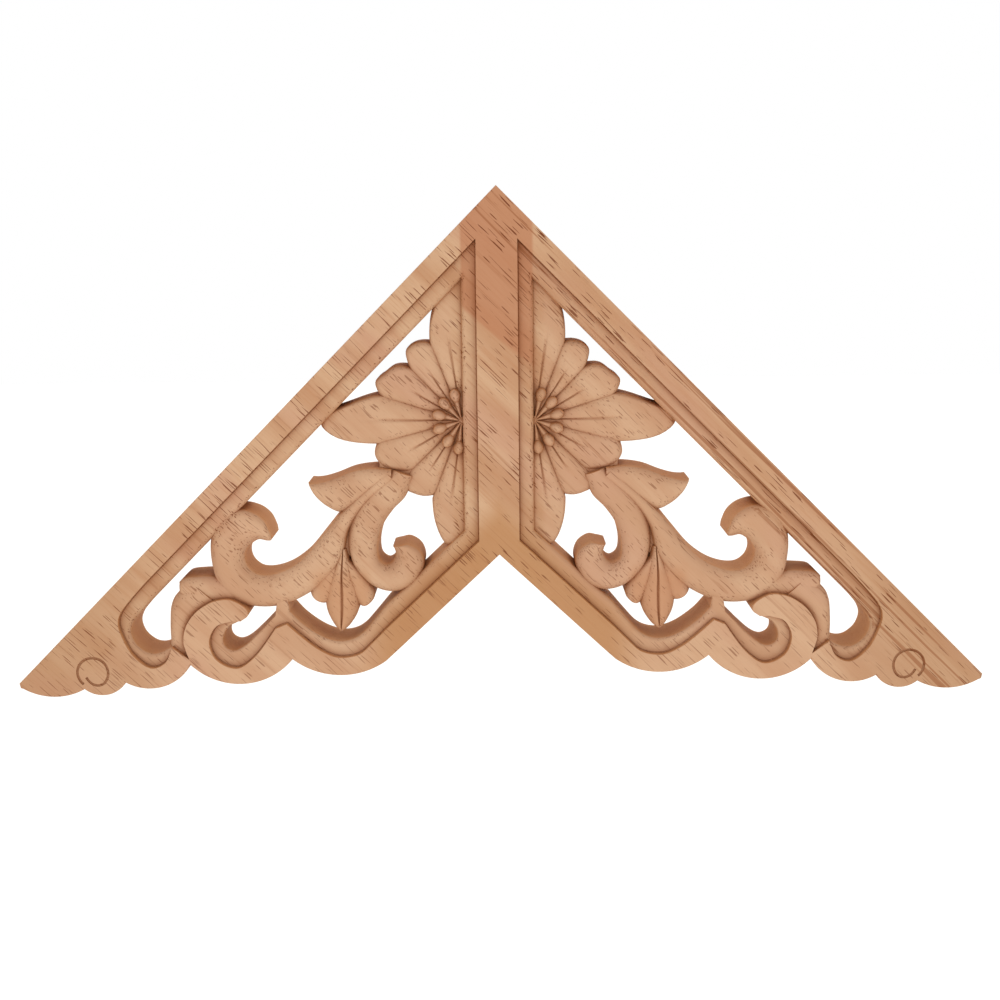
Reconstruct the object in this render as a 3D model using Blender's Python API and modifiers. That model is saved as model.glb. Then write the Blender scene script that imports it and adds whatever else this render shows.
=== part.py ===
"""Carved wooden corner applique: a right-angled corner of two long legs and a centre bar, with a
pierced and carved panel on each side of the bar. It is carved from one board, so it is one solid.

The front faces -Y and the flat back lies in the plane Y = 0. Plan points are pairs of millimetres:
the distance out from the middle line, and the drop below the outer corner at the top. One half is
carved, and the other half mirrors it.
"""
import math

import bmesh
import bpy
import numpy as np

# Driving dimensions, in millimetres.
LEG_LENGTH = 200.0        # outer edge of each leg, corner to tip
BOARD = 16.0              # back to the flat front faces
STRIP_STEP = 2.0          # the moulding strip lies this far below the flat faces
STRIP_ROUND = 1.0         # chamfer of the strip's edge towards the openings
BAR_HALF = 5.8            # half the flat face of the centre bar
BAR_STRIP_HALF = 10.1     # middle line to the edge of the strip beside the bar
LEG_FLAT = 6.1            # width of a leg's flat face, square to the leg
LEG_WHOLE = 11.0          # width of a leg with its strip
ARM_TOP = 104.1           # drop of the notch under the bar
ARM_FLAT = 6.9            # width of a lower arm's flat face
ARM_WHOLE = 11.7          # width of a lower arm with its strip
ARM_RUN = 33.0            # distance out to which the inner lines of an arm run straight
LEG_RUN = 103.0           # the same for a leg
FLOWER_OUT = 10.4         # the half flower's centre
FLOWER_DROP = 65.6
SCALLOP_ENDS = (33.6, 61.0, 91.0, 110.3, 122.5)   # distances out of the notches between the scallops
SCALLOP_DROPS = (135.8, 135.0, 136.4, 141.6, 143.5)
SCALLOP_SAGS = (4.6, 6.7, 4.2, 2.8, 2.6)
TIP_BACK, TIP_BLUNT = 0.3, 1.4      # the tip's end is this far back and this long, down from its corner
HOOK_MIDDLE = (81.7, 128.7)
HOOK_INSET = 0.4          # the strip's plate stays this far inside the hook
HOOK_FOOT = 4             # points of the hook's foot that lie below the crescent
VOLUTE_OUT = 119.6        # middle of the spiral volute near the tip
VOLUTE_DROP = 138.3
VOLUTE_RADIUS = 4.5
VOLUTE_START = -50.0      # direction of the notch where its groove starts, in degrees
VOLUTE_TURN = 395.0       # the groove runs this far round, over the top and back
VOLUTE_CURL = 0.45        # share of the radius that the end curls in by
GROOVE_RADIUS = 0.7

# Heights of the carving above the back, at the crown and at the edges.
PETAL_CROWN, PETAL_EDGE = 12.4, 10.4
STAMEN_CROWN, STAMEN_EDGE = 14.0, 11.4
LARGE_SCROLL_CROWN, LARGE_SCROLL_EDGE = 14.6, 11.6
SMALL_SCROLL_CROWN, SMALL_SCROLL_EDGE = 14.2, 11.4
LEAF_CROWN, LEAF_EDGE = 13.6, 11.2
BUD_MIDDLE_CROWN, BUD_MIDDLE_EDGE = 14.4, 11.2
BUD_OUTER_CROWN, BUD_OUTER_EDGE = 13.2, 10.6
BUD_INNER_CROWN, BUD_INNER_EDGE = 13.4, 10.4
BACK_LOBE_CROWN, BACK_LOBE_EDGE = 14.0, 12.2
CRESCENT_CROWN, CRESCENT_EDGE = 14.4, 11.4
PETAL_VEIN = 0.7          # depth of the vein down a petal
BUD_VEIN = 0.9
PETAL_FALL = 1.2          # a petal sinks this far from its root to its rim

TIP = LEG_LENGTH / math.sqrt(2.0)
ORIGIN_DROP = FLOWER_DROP
MM = 0.001
OVERLAP = 4.0             # the half reaches this far past the middle line before it is mirrored
STRIP_INSET = 0.5         # the strip's plate stays this far inside the outer walls
BODY_WASTE = 4.0          # the body starts this far behind the back, and one cut planes all flat
STRIP_WASTE = 3.0
FORM_WASTE = 1.0
WASTE_STEP = 0.07         # each form starts a little further behind than the last
CURVE_STEPS = 2           # facets between two stations of a scroll or leaf

# Seven petals of the half flower: start and end direction in degrees, and the rim's distance from
# the flower's centre at five equal steps between them.
PETALS = (
    (-95.0, -68.6, (37.0, 37.4, 36.8, 31.7, 24.8)),
    (-69.4, -43.5, (23.5, 24.9, 25.7, 25.8, 22.0)),
    (-44.5, -13.7, (21.6, 24.2, 26.6, 27.2, 25.4)),
    (-15.3, 18.1, (25.5, 37.2, 40.6, 32.0, 24.8)),
    (17.1, 47.0, (24.6, 27.1, 25.9, 24.6, 21.3)),
    (45.8, 69.4, (21.4, 25.4, 25.9, 25.2, 23.9)),
    (68.4, 95.0, (24.4, 32.0, 38.0, 42.0, 42.0)),
)
STAMEN_DIRECTIONS = (-78.0, -47.0, -16.0, 16.0, 47.0, 78.0)
STAMEN_REACH = 8.9
STAMEN_HALF_WIDTH = 1.75

# Scrolls and leaves: matching points of the outer and the inner edge, from the root to the tip.
SMALL_SCROLL = (
    ((30.4, 79.6), (24.6, 81.6)),
    ((36.4, 83.6), (27.0, 87.4)),
    ((41.2, 89.7), (30.6, 91.2)),
    ((43.6, 96.7), (33.6, 95.5)),
    ((43.7, 103.7), (35.1, 100.2)),
    ((41.5, 109.7), (35.4, 103.8)),
    ((36.5, 114.3), (34.8, 106.3)),
    ((30.5, 115.7), (33.0, 107.6)),
    ((24.9, 113.7), (31.5, 107.0)),
    ((22.1, 108.3), (30.6, 105.6)),
    ((23.0, 103.8), (30.4, 104.4)),
    ((26.2, 101.4), (30.6, 103.4)),
    ((29.0, 101.7), (30.9, 102.7)),
    ((30.8, 102.1), (31.1, 102.3)),
)
LARGE_SCROLL = (
    ((29.9, 82.6), (32.9, 79.6)),
    ((37.9, 89.2), (40.4, 86.2)),
    ((43.4, 96.7), (45.9, 91.9)),
    ((45.8, 105.2), (51.3, 98.5)),
    ((50.3, 111.7), (56.3, 104.4)),
    ((56.7, 116.3), (61.4, 108.2)),
    ((63.8, 119.3), (66.3, 110.0)),
    ((71.2, 119.7), (70.3, 110.1)),
    ((78.4, 117.8), (72.8, 108.6)),
    ((82.5, 112.3), (74.1, 106.4)),
    ((84.0, 105.2), (74.2, 104.0)),
    ((83.7, 98.7), (73.3, 102.2)),
    ((81.3, 93.2), (72.2, 101.1)),
    ((76.3, 90.6), (70.9, 100.2)),
    ((71.3, 91.5), (69.8, 99.9)),
    ((68.0, 94.0), (68.8, 100.1)),
    ((66.4, 97.3), (67.7, 100.3)),
    ((66.0, 99.4), (66.7, 100.3)),
)
LEAF = (
    ((30.9, 79.3), (30.9, 82.1)),
    ((35.9, 79.0), (35.9, 85.2)),
    ((41.9, 79.8), (40.2, 89.1)),
    ((47.2, 81.8), (45.4, 91.8)),
    ((50.9, 82.9), (49.5, 90.3)),
    ((53.4, 83.2), (52.9, 87.2)),
    ((55.0, 83.1), (54.9, 83.6)),
)
BACK_LOBE = (
    ((77.3, 111.8), (77.9, 118.2)),
    ((84.0, 110.5), (84.5, 118.6)),
    ((88.6, 110.5), (89.0, 117.6)),
    ((92.0, 110.9), (92.2, 116.6)),
    ((93.8, 112.2), (93.8, 115.4)),
)
CRESCENT = (
    ((89.5, 112.0), (82.4, 118.7)),
    ((94.4, 115.4), (86.0, 120.4)),
    ((96.4, 119.0), (88.9, 122.7)),
    ((97.0, 124.0), (90.5, 125.6)),
    ((97.1, 128.6), (91.2, 129.1)),
    ((96.8, 132.8), (90.7, 132.5)),
    ((93.6, 137.0), (89.7, 135.1)),
)
BUD_MIDDLE = (
    ((46.5, 102.7), (44.5, 102.7)),
    ((49.2, 109.7), (42.9, 110.1)),
    ((51.0, 116.2), (41.2, 116.7)),
    ((50.8, 121.0), (41.7, 121.5)),
    ((49.0, 125.1), (44.1, 125.5)),
    ((47.0, 127.5), (46.4, 127.5)),
)
BUD_OUTER = (
    ((46.3, 104.7), (45.3, 105.7)),
    ((51.8, 108.7), (46.8, 111.7)),
    ((55.3, 113.2), (48.3, 117.2)),
    ((55.4, 116.3), (51.0, 119.0)),
    ((54.0, 118.0), (53.4, 118.3)),
)
BUD_INNER = (
    ((45.4, 104.7), (44.9, 105.7)),
    ((40.4, 109.2), (44.8, 111.7)),
    ((37.3, 113.7), (43.3, 116.7)),
    ((36.9, 117.5), (41.0, 119.9)),
    ((38.5, 119.5), (39.0, 119.9)),
)


def arc(start, end, sag, steps):
    """Plan points after start up to end on a circular arc that bows down by sag."""
    start, end = np.array(start), np.array(end)
    chord = end - start
    half = np.hypot(*chord) / 2.0
    radius = (half ** 2 + sag ** 2) / (2.0 * sag)
    side = np.array((chord[1], -chord[0])) / (2.0 * half)
    if side[1] < 0.0:
        side = -side
    centre = (start + end) / 2.0 + side * (sag - radius)
    sweep = math.asin(half / radius)
    angles = np.linspace(-sweep, sweep, steps + 1)[1:]
    across = chord / (2.0 * half)
    return [tuple(centre + radius * (math.sin(a) * across + math.cos(a) * side)) for a in angles]


def smooth(points, steps):
    """A Catmull-Rom curve through the points, with so many steps between neighbours."""
    points = np.array(points, dtype=float)
    ends = np.vstack((2 * points[0] - points[1], points, 2 * points[-1] - points[-2]))
    t = np.linspace(0.0, 1.0, steps, endpoint=False)[:, None]
    pieces = []
    for a, b, c, d in zip(ends, ends[1:], ends[2:], ends[3:]):
        pieces.append(0.5 * (2 * b + (c - a) * t + (2 * a - 5 * b + 4 * c - d) * t ** 2
                             + (3 * b - a - 3 * c + d) * t ** 3))
    return np.vstack(pieces + [points[-1:]])


def place(out, drop, height):
    """The point in metres of a plan point at a height above the back."""
    return (out * MM, -height * MM, (ORIGIN_DROP - drop) * MM)


def new_object(name, mesh, collection):
    piece = bpy.data.objects.new(name, mesh)
    collection.objects.link(piece)
    return piece


def solid_from(blank, collection):
    """The closed mesh of a curve object, in the curve's place. The curve is removed."""
    bpy.context.view_layer.update()
    graph = bpy.context.evaluated_depsgraph_get()
    mesh = bpy.data.meshes.new_from_object(blank.evaluated_get(graph))
    shape = bmesh.new()
    shape.from_mesh(mesh)
    bmesh.ops.remove_doubles(shape, verts=shape.verts, dist=1e-7)
    bmesh.ops.recalc_face_normals(shape, faces=shape.faces)
    shape.to_mesh(mesh)
    shape.free()
    piece = new_object(blank.data.name, mesh, collection)
    piece.matrix_world = blank.matrix_world
    bpy.data.objects.remove(blank)
    return piece


def plate(name, loops, front, back, collection, chamfer=0.0):
    """A flat plate between two heights, sawn to the first loop and pierced by the others. Its
    arrises are chamfered by so much, which the offset takes from the plate and not from the holes."""
    curve = bpy.data.curves.new(name, "CURVE")
    curve.dimensions = "2D"
    curve.fill_mode = "BOTH"
    curve.extrude = ((front - back) / 2.0 - chamfer) * MM
    curve.bevel_depth = chamfer * MM
    curve.bevel_resolution = 0
    curve.offset = -chamfer * MM
    for loop in loops:
        spline = curve.splines.new("POLY")
        spline.points.add(len(loop) - 1)
        for point, (out, drop) in zip(spline.points, loop):
            point.co = (out * MM, (ORIGIN_DROP - drop) * MM, 0.0, 1.0)
        spline.use_cyclic_u = True
    blank = new_object(name + "_curve", curve, collection)
    blank.rotation_euler = (math.pi / 2.0, 0.0, 0.0)
    blank.location = (0.0, -(front + back) * MM / 2.0, 0.0)
    return solid_from(blank, collection)


def back_of(collection):
    """The height where the next form's back starts, each a little further behind the last."""
    return -FORM_WASTE - WASTE_STEP * len(collection.objects)


def loft(name, left, right, across, height, collection):
    """A solid between two plan edges. height(along, across) gives its front, with along running
    from 0 at the root to 1 at the tip and across from -1 on the left edge to 1."""
    back = back_of(collection)
    shape = bmesh.new()
    rings = []
    for along, a, b in zip(np.linspace(0.0, 1.0, len(left)), left, right):
        ring = [shape.verts.new(place(*a, back))]
        for v in across:
            out, drop = a + (b - a) * (v + 1.0) / 2.0
            ring.append(shape.verts.new(place(out, drop, height(along, v))))
        ring.append(shape.verts.new(place(*b, back)))
        rings.append(ring)
    for ring, after in zip(rings, rings[1:]):
        for i in range(len(ring)):
            j = (i + 1) % len(ring)
            shape.faces.new((ring[i], ring[j], after[j], after[i]))
    shape.faces.new(rings[0])
    shape.faces.new(reversed(rings[-1]))
    bmesh.ops.recalc_face_normals(shape, faces=shape.faces)
    mesh = bpy.data.meshes.new(name)
    shape.to_mesh(mesh)
    shape.free()
    return new_object(name, mesh, collection)


def crown(v, power=2.4):
    """One in the middle of a form, falling to nothing at its two edges."""
    return (1.0 - abs(v) ** power) ** 0.75


def tip_fall(along, power=5.0):
    """One along a form, falling at its far end."""
    return (1.0 - along ** power) ** 0.6


def flat_outline(inset=0.0):
    """The outer outline of the half, which overlaps the middle line, drawn in by the inset."""
    down = inset * math.sqrt(2.0)
    past = OVERLAP - inset
    corner = TIP - 3.0 * inset
    ends = [(corner - TIP_BACK, TIP + TIP_BLUNT - down)]
    ends += [(out, drop - down) for out, drop in zip(SCALLOP_ENDS, SCALLOP_DROPS)][::-1]
    loop = [(-past, past + down), (0.0, down), (corner, corner + down), ends[0]]
    for start, end, sag in zip(ends, ends[1:], SCALLOP_SAGS[::-1]):
        loop += arc(start, end, sag, 7)
    slope = (SCALLOP_DROPS[0] - ARM_TOP) / SCALLOP_ENDS[0]
    return loop + [(0.0, ARM_TOP - down), (-past, ARM_TOP - down + past * slope)]


def line_drop(width, slope):
    """How far in drop a line lies from a parallel one a width away."""
    return width * math.hypot(1.0, slope)


def hook_outline(inset=0.0):
    """The outer edge of the hook that ends the second scallop, from the tip round to its foot,
    drawn in towards the hook's middle by the inset."""
    points = np.array(((75.6, 123.2), (73.4, 121.4), (74.4, 119.0), (78.3, 116.8), (82.0, 116.9),
                       (85.3, 118.1), (89.2, 121.0), (91.8, 125.0), (92.6, 129.1), (92.0, 132.1),
                       (91.2, 134.6)))
    inward = np.array(HOOK_MIDDLE) - points
    points += inset * inward / np.hypot(*inward.T)[:, None]
    return [tuple(p) for p in smooth(points, 2)]


def quirk_loop():
    """The inner edge of the flat faces: down the bar, along the arm, round the scallops and the
    hook, and back up the leg."""
    slope = (SCALLOP_DROPS[0] - ARM_TOP) / SCALLOP_ENDS[0]
    arm = ARM_TOP - line_drop(ARM_FLAT, slope)
    leg = line_drop(LEG_FLAT, 1.0)
    loop = [(BAR_HALF, BAR_HALF + leg), (BAR_HALF, arm + slope * BAR_HALF)]
    loop += [tuple(p) for p in smooth(((ARM_RUN, arm + slope * ARM_RUN), (37.6, 130.4), (41.0, 133.4),
                                       (45.2, 134.5), (49.1, 134.1), (53.9, 131.5), (58.3, 127.9),
                                       (62.3, 124.2)), 2)]
    loop += [tuple(p) for p in smooth(((65.5, 125.5), (70.8, 132.8), (75.7, 137.0), (79.5, 137.2),
                                       (83.5, 134.6), (85.1, 130.4), (84.5, 127.1), (82.4, 124.4),
                                       (78.4, 123.2)), 2)]
    loop += hook_outline()
    loop += [tuple(p) for p in smooth(((96.1, 131.0), (98.3, 135.6), (102.8, 137.1), (107.9, 132.9),
                                       (110.9, 126.3), (111.0, 120.3), (109.0, 118.3)), 3)]
    return loop + [(LEG_RUN, LEG_RUN + leg)]


def opening_loop():
    """The sawn edge of the frame, inside the moulding strip."""
    slope = (SCALLOP_DROPS[0] - ARM_TOP) / SCALLOP_ENDS[0]
    arm = ARM_TOP - line_drop(ARM_WHOLE, slope)
    leg = line_drop(LEG_WHOLE, 1.0)
    loop = [(BAR_STRIP_HALF, BAR_STRIP_HALF + leg)]
    loop += [(BAR_STRIP_HALF, arm + slope * BAR_STRIP_HALF)]
    loop += [tuple(p) for p in smooth(((ARM_RUN, arm + slope * ARM_RUN), (37.2, 124.2), (41.0, 128.3),
                                       (44.7, 130.0), (48.8, 130.0), (53.3, 128.2), (58.2, 124.6),
                                       (61.5, 121.0)), 2)]
    loop += [(61.9, 117.4), (65.1, 117.4), (65.8, 122.2)]
    loop += [tuple(p) for p in smooth(((71.1, 127.6), (75.0, 131.1), (78.0, 132.6), (80.3, 132.0),
                                       (81.4, 130.2), (81.1, 127.7), (79.5, 125.4), (77.2, 124.1)), 2)]
    loop += hook_outline(HOOK_INSET)[:-HOOK_FOOT]
    loop += [tuple(p) for p in smooth(((97.2, 131.6), (99.9, 133.0), (102.4, 133.4), (104.8, 132.6),
                                       (107.3, 130.2), (108.4, 126.8), (107.5, 123.8), (105.3, 121.0)),
                                      2)]
    return loop + [(LEG_RUN, LEG_RUN + leg)]


def petal(number, start, end, rims, collection):
    """A petal in polar steps about the flower's centre, with a vein down its middle. It rises
    between its two side edges, more towards the rim, and turns down at the rim itself."""
    across = np.array((-1.0, -0.75, -0.35, 0.0, 0.35, 0.75, 1.0))
    rim_at = smooth([(r, r) for r in rims], 24)[:, 0]
    radii = np.interp(across, np.linspace(-1.0, 1.0, len(rim_at)), rim_at)
    angles = np.radians(np.interp(across, (-1.0, 1.0), (start, end)))
    back = back_of(collection)
    shape = bmesh.new()
    rings = []
    for along in (0.08, 0.3, 0.55, 0.78, 0.92, 1.0):
        ring = []
        for v, radius, angle in zip(across, radii, angles):
            out = FLOWER_OUT + along * radius * math.cos(angle)
            drop = FLOWER_DROP - along * radius * math.sin(angle)
            vein = PETAL_VEIN * (v == 0.0) * min(1.0, 4.0 * (1.0 - along) + 0.3)
            turn_down = 1.0 - 0.65 * along ** 8
            rise = (PETAL_CROWN - PETAL_EDGE) * crown(v, 3.0) * min(1.0, 0.4 + along) * turn_down
            height = PETAL_EDGE + rise - vein - PETAL_FALL * along ** 3
            ring.append((shape.verts.new(place(out, drop, back)),
                         shape.verts.new(place(out, drop, height))))
        rings.append(ring)
    columns = range(len(across) - 1)
    for ring, after in zip(rings, rings[1:]):
        for i in columns:
            shape.faces.new((ring[i][1], ring[i + 1][1], after[i + 1][1], after[i][1]))
            shape.faces.new((ring[i][0], after[i][0], after[i + 1][0], ring[i + 1][0]))
        for i in (0, len(across) - 1):
            shape.faces.new((ring[i][0], ring[i][1], after[i][1], after[i][0]))
    for ring in (rings[0], rings[-1]):
        for i in columns:
            shape.faces.new((ring[i][0], ring[i + 1][0], ring[i + 1][1], ring[i][1]))
    bmesh.ops.recalc_face_normals(shape, faces=shape.faces)
    mesh = bpy.data.meshes.new("petal_%d" % number)
    shape.to_mesh(mesh)
    shape.free()
    return new_object(mesh.name, mesh, collection)


def stamen(number, direction, collection):
    """A stamen that widens from the flower's centre outwards and ends in a half round bead."""
    angle = math.radians(direction)
    run = np.array((math.cos(angle), -math.sin(angle)))
    side = np.array((run[1], -run[0]))
    start = np.array((FLOWER_OUT, FLOWER_DROP))
    bead_start = 0.8
    bead_length = 0.205
    left, right = [], []
    for along in (0.05, 0.45, 0.72, 0.86, 0.96, 1.0):
        into_bead = max(0.0, along - bead_start) / bead_length
        width = STAMEN_HALF_WIDTH * (0.15 + 0.85 * along) * math.sqrt(1.0 - into_bead ** 2)
        middle = start + run * STAMEN_REACH * along
        left.append(middle + side * width)
        right.append(middle - side * width)

    def height(along, v):
        return STAMEN_EDGE + (STAMEN_CROWN - STAMEN_EDGE) * crown(v, 2.0)

    return loft("stamen_%d" % number, left, right, (-1.0, -0.6, 0.0, 0.6, 1.0), height, collection)


def edges(stations, steps):
    """The two smooth edges of a form given by matching points."""
    return smooth([a for a, _ in stations], steps), smooth([b for _, b in stations], steps)


def carved(name, stations, top, edge, collection, vein=0.0):
    """A scroll, leaf or lobe: crowned across, falling at its tip, with a vein where one is cut."""
    left, right = edges(stations, CURVE_STEPS)

    def height(along, v):
        groove = vein * (v == 0.0) * min(1.0, 5.0 * (1.0 - along))
        return edge + (top - edge) * crown(v) * tip_fall(along) - groove

    across = (-1.0, -0.8, -0.4, 0.0, 0.4, 0.8, 1.0) if vein else (-1.0, -0.75, -0.3, 0.3, 0.75, 1.0)
    return loft(name, left, right, across, height, collection)


def volute_cutter(collection):
    """The round tool mark of the spiral volute: it starts at the notch in the outline, goes once
    round over the top and curls in."""
    curve = bpy.data.curves.new("volute_groove", "CURVE")
    curve.dimensions = "3D"
    curve.bevel_depth = GROOVE_RADIUS * MM
    curve.bevel_resolution = 0
    curve.use_fill_caps = True
    steps = 20
    spline = curve.splines.new("POLY")
    spline.points.add(steps)
    for i, point in enumerate(spline.points):
        share = i / steps
        angle = math.radians(VOLUTE_START + VOLUTE_TURN * share)
        radius = VOLUTE_RADIUS * (1.0 - VOLUTE_CURL * max(0.0, share - 0.6) / 0.4)
        out = VOLUTE_OUT + radius * math.cos(angle)
        drop = VOLUTE_DROP - radius * math.sin(angle)
        point.co = (*place(out, drop, BOARD), 1.0)
    return solid_from(new_object("volute_groove_curve", curve, collection), collection)


def back_cutter(collection):
    """A block behind the back plane that planes the whole piece flat."""
    side = 2.0 * LEG_LENGTH * MM
    shape = bmesh.new()
    bmesh.ops.create_cube(shape, size=side)
    bmesh.ops.translate(shape, verts=shape.verts, vec=(0.0, side / 2.0, 0.0))
    mesh = bpy.data.meshes.new("back_plane")
    shape.to_mesh(mesh)
    shape.free()
    return new_object(mesh.name, mesh, collection)


def boolean(piece, tool, operation):
    """Join a form to the piece or cut it with a tool. The manifold solver is used because the
    exact one leaves open edges where petals, scrolls and strip cross in the same few points."""
    modifier = piece.modifiers.new(tool.name, "BOOLEAN")
    modifier.operation = operation
    modifier.solver = "MANIFOLD"
    modifier.object = tool


def wood():
    """Bare pale hardwood with a dull surface."""
    material = bpy.data.materials.new("bare_wood")
    material.use_nodes = True
    shader = material.node_tree.nodes["Principled BSDF"]
    shader.inputs["Base Color"].default_value = (0.55, 0.33, 0.20, 1.0)
    shader.inputs["Roughness"].default_value = 0.62
    shader.inputs["Metallic"].default_value = 0.0
    return material


def main():
    for item in list(bpy.data.objects):
        bpy.data.objects.remove(item)
    scene = bpy.context.scene
    parts = bpy.data.collections.new("corner_applique")
    tools = bpy.data.collections.new("carving_forms")
    scene.collection.children.link(parts)
    scene.collection.children.link(tools)

    body = plate("carved_corner", (flat_outline(), quirk_loop()), BOARD, -BODY_WASTE, parts)
    strip = plate("moulding_strip", (flat_outline(STRIP_INSET), opening_loop()),
                  BOARD - STRIP_STEP, -STRIP_WASTE, tools, STRIP_ROUND)
    boolean(body, strip, "UNION")

    forms = [petal(i, *sizes, tools) for i, sizes in enumerate(PETALS, 1)]
    forms += [stamen(i, direction, tools) for i, direction in enumerate(STAMEN_DIRECTIONS, 1)]
    forms += [
        carved("leaf", LEAF, LEAF_CROWN, LEAF_EDGE, tools),
        carved("large_scroll", LARGE_SCROLL, LARGE_SCROLL_CROWN, LARGE_SCROLL_EDGE, tools),
        carved("small_scroll", SMALL_SCROLL, SMALL_SCROLL_CROWN, SMALL_SCROLL_EDGE, tools),
        carved("bud_outer_lobe", BUD_OUTER, BUD_OUTER_CROWN, BUD_OUTER_EDGE, tools),
        carved("bud_inner_lobe", BUD_INNER, BUD_INNER_CROWN, BUD_INNER_EDGE, tools),
        carved("bud_middle_lobe", BUD_MIDDLE, BUD_MIDDLE_CROWN, BUD_MIDDLE_EDGE, tools, BUD_VEIN),
        carved("back_lobe", BACK_LOBE, BACK_LOBE_CROWN, BACK_LOBE_EDGE, tools),
        carved("crescent", CRESCENT, CRESCENT_CROWN, CRESCENT_EDGE, tools),
    ]
    for form in forms:
        boolean(body, form, "UNION")
    boolean(body, volute_cutter(tools), "DIFFERENCE")
    boolean(body, back_cutter(tools), "DIFFERENCE")

    mirror = body.modifiers.new("other_half", "MIRROR")
    mirror.use_axis = (True, False, False)
    mirror.use_bisect_axis = (True, False, False)
    mirror.merge_threshold = 1e-6
    body.data.materials.append(wood())
    for tool in tools.objects:
        tool.hide_render = True
        tool.display_type = "WIRE"


main()
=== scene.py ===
# %% [markdown]
# # A carved corner applique, dressed for its picture
#
# This file is a lesson in cells. It starts from the plain CAD part, a faceted solid of a carved
# wooden corner, and carves the same piece again with fine surfaces: petals with veins, rolled rims,
# round scrolls and a moulding strip with a real profile. Then it gives the piece bare wood with
# grain and pores, paints shade into its creases and towards its tips and warm bounce light on its
# walls, and lights it like the photograph.
#
# The first cell loads the part. Everything is in metres, +Z is up, the carved front faces -Y and
# the flat back lies in the plane Y = 0, so a carving that is made at the same numbers as the CAD
# part lands exactly on it.

# %% Load the CAD part
import math

import bmesh
import bpy
import numpy as np
from mathutils import Matrix, Vector
from mathutils.geometry import tessellate_polygon


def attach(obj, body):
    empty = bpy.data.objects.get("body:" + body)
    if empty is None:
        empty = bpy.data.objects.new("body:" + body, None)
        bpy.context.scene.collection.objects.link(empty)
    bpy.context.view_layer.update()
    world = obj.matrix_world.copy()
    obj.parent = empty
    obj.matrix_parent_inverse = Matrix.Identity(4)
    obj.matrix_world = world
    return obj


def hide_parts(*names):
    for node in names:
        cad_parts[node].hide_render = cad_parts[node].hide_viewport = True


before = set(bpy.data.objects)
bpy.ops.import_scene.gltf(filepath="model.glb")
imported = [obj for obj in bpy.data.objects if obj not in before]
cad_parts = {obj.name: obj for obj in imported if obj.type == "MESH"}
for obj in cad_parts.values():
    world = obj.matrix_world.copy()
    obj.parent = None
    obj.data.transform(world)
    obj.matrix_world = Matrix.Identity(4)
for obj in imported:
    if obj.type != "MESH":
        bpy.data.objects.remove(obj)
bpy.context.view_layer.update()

# %% [markdown]
# ## The plan
#
# A carver draws the pattern on the board first. We do the same: a plan point is a pair of
# millimetres, the distance out from the middle line and the drop below the outer corner at the
# top. Only the right half is drawn, because the left half mirrors it. Straight lines and circular
# arcs come from a few named sizes, and free curves run smoothly through a few stations.

# %% Sizes in millimetres
MM = 0.001
LEG_LENGTH = 200.0
TIP_BACK, TIP_BLUNT = 0.3, 1.4      # the blunt end of a tip goes in by this and down by this
BOARD = 16.0              # thickness at the flat faces
STRIP_STEP = 2.0          # the moulding strip lies this far below the flat faces
BAR_HALF = 5.8            # half the flat face of the centre bar
BAR_STRIP_HALF = 10.1     # middle line to the edge of the strip
LEG_FLAT, LEG_WHOLE = 6.1, 11.0     # leg's flat face, and leg with its strip
ARM_TOP, ARM_FLAT, ARM_WHOLE = 104.1, 6.9, 11.7
ARM_RUN, LEG_RUN = 33.0, 103.0      # how far out the inner lines of arm and leg run straight
FLOWER_OUT, FLOWER_DROP = 10.4, 65.6
TIP = LEG_LENGTH / math.sqrt(2.0)
SCALLOP_ENDS = (33.6, 61.0, 91.0, 110.3, 122.5)
SCALLOP_DROPS = (135.8, 135.0, 136.4, 141.6, 143.5)
SCALLOP_SAGS = (4.6, 6.7, 4.2, 2.8, 2.6)
HOOK_MIDDLE, HOOK_INSET = (81.7, 128.7), 0.4    # the strip stays this far inside the hook
LEG_ARRIS, SCALLOP_ARRIS, ARM_ARRIS, QUIRK_ARRIS = 0.3, 0.8, 0.5, 0.15  # radii of softened edges
STRIP_ROUND = 1.7         # radius of the strip's edge towards the openings
TONGUE_ROUND, HOOK_GAP_ROUND, HOOK_ROUND = 0.3, 0.9, 0.1
LONG_STEP, SHORT_STEP = 8.0, 6.0    # spacing of the points on straight lines
OVERLAP = 4.0             # the half reaches past the middle line before it is mirrored
ARM_SLOPE = (SCALLOP_DROPS[0] - ARM_TOP) / SCALLOP_ENDS[0]
print("span across the tips: %.1f mm" % (2.0 * TIP))


# %% Curves of the plan
def arc(start, end, sag, steps):
    """Points on the circle through start and end whose middle lies sag below their chord. With
    half a chord h the radius is (h^2 + sag^2) / (2 sag), and the angle runs evenly."""
    start, end = np.array(start, float), np.array(end, float)
    half = np.hypot(*(end - start)) / 2.0
    along = (end - start) / (2.0 * half)
    down = np.array((-along[1], along[0])) if along[0] > 0 else np.array((along[1], -along[0]))
    radius = (half ** 2 + sag ** 2) / (2.0 * sag)
    angle = np.linspace(-1.0, 1.0, steps + 1)[1:, None] * math.asin(half / radius)
    middle = (start + end) / 2.0 + down * (sag - radius)
    return middle + radius * (np.sin(angle) * along + np.cos(angle) * down)


def smooth(points, steps):
    """A curve through all the stations: between two of them it is the cubic that leaves each one
    in the direction of the line from the station before it to the one after it."""
    p = np.array(points, float)
    p = np.vstack((2 * p[0] - p[1], p, 2 * p[-1] - p[-2]))
    a, b, c, d = p[:-3], p[1:-2], p[2:-1], p[3:]
    t = np.linspace(0.0, 1.0, steps, endpoint=False)[:, None, None]
    curve = 0.5 * (2 * b + (c - a) * t + (2 * a - 5 * b + 4 * c - d) * t ** 2
                   + (3 * b - a - 3 * c + d) * t ** 3)
    return np.vstack((curve.transpose(1, 0, 2).reshape(-1, p.shape[1]), p[-2:-1]))


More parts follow.
